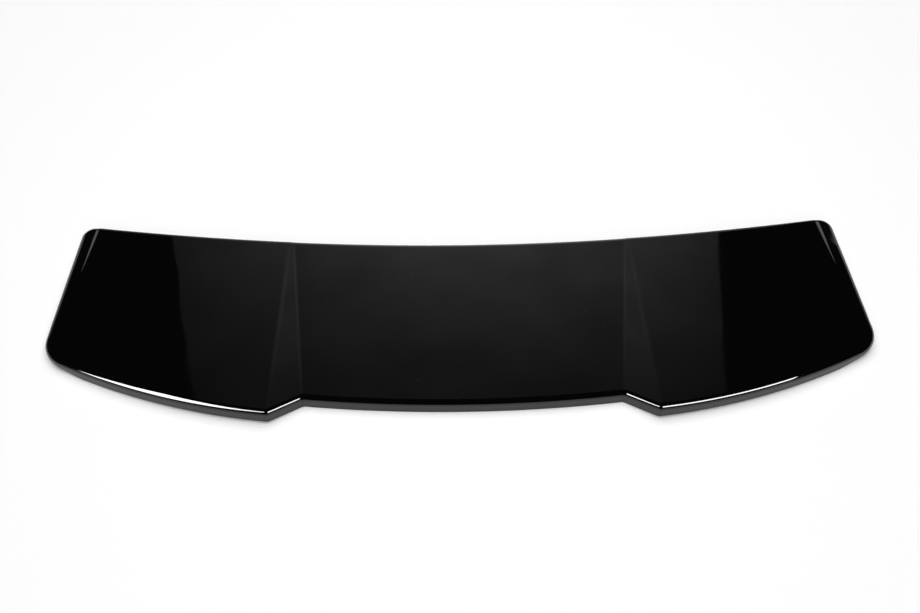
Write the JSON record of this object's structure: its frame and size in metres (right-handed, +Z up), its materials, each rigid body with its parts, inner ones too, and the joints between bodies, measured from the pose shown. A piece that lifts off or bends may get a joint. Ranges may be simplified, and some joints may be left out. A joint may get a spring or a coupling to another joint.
{
  "type": "car spoiler",
  "caption": "Gloss black cap for a car's roof spoiler: a crowned sheet with raised outer lobes, a recessed centre and a turned-down trailing lip, open underneath.",
  "frame": {"origin": "bottom centre of the part's box, in the plane of the feet it rests on", "axes": "+X to the right across the car, +Y forward to the roof, +Z up; the trailing lip is at -Y"},
  "size_m": [1.1558, 0.3532, 0.034],
  "materials": {
    "gloss_black": "high gloss, smooth"
  },
  "bodies": {
    "root": {"spoiler_shell": "gloss_black"}
  },
  "joints": []
}
